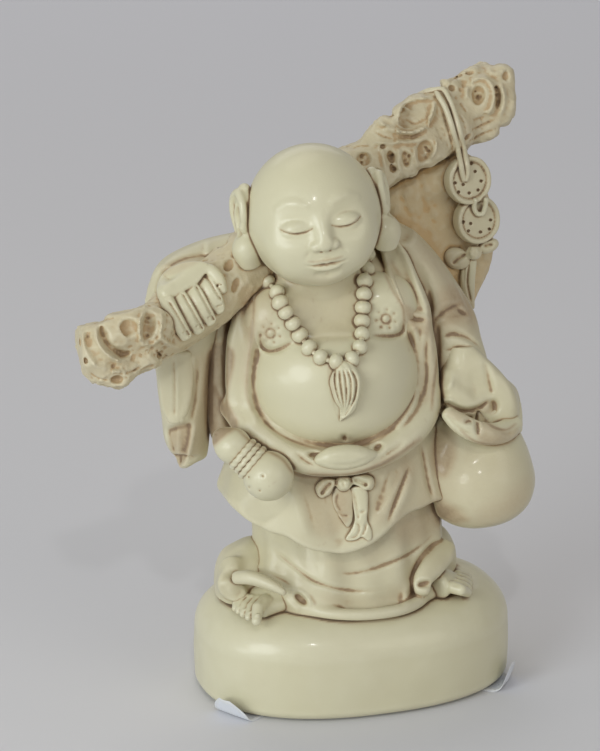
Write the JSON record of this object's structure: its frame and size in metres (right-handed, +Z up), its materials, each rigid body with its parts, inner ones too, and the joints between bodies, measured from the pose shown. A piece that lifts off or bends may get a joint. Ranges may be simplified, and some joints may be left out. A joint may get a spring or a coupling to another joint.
{
  "type": "laughing buddha figure",
  "caption": "Standing laughing figure in cast resin with a staff, sack, money bag, gourd and beads, on a rounded base.",
  "frame": {"origin": "middle of the flat underside that the ornament rests on", "axes": "-Y is the figure's front, +X is to the viewer's right, +Z is up"},
  "size_m": [0.1777, 0.0968, 0.2272],
  "materials": {
    "cast_resin": "cream cast resin, satin, antique wash in its grooves",
    "robe_resin": "cream cast resin, satin, with tan wash in the folds",
    "washed_resin": "rough cast resin with brown wash in its hollows",
    "backing_paper": "plain matt white paper"
  },
  "bodies": {
    "root": {"backing_paper": "backing_paper", "base": "cast_resin", "right_foot": "cast_resin", "left_foot": "cast_resin", "staff": "washed_resin", "right_hand": "cast_resin", "staff_cord": "cast_resin", "upper_coin": "cast_resin", "lower_coin": "cast_resin", "coin_link": "cast_resin", "coin_bow": "cast_resin", "coin_ribbon": "cast_resin", "head": "cast_resin", "right_ear": "cast_resin", "left_ear": "cast_resin", "robe_back": "robe_resin", "body": "cast_resin", "bead_string": "cast_resin", "bead_tassel": "cast_resin", "sash_knot": "cast_resin", "sash_tail_left": "cast_resin", "sash_tail_right": "cast_resin", "gourd": "cast_resin", "gourd_cord": "cast_resin", "money_bag": "cast_resin", "bag_collar": "cast_resin", "belt_fold": "cast_resin", "left_cuff": "robe_resin", "left_sleeve": "robe_resin", "waist_roll": "robe_resin", "sleeve_panel": "washed_resin", "right_sleeve": "robe_resin", "robe_front_right": "robe_resin", "robe_front_left": "robe_resin", "skirt": "robe_resin", "under_robe": "robe_resin", "hem_fold_right": "robe_resin", "hem_fold_left": "robe_resin", "sack": "washed_resin"}
  },
  "joints": []
}
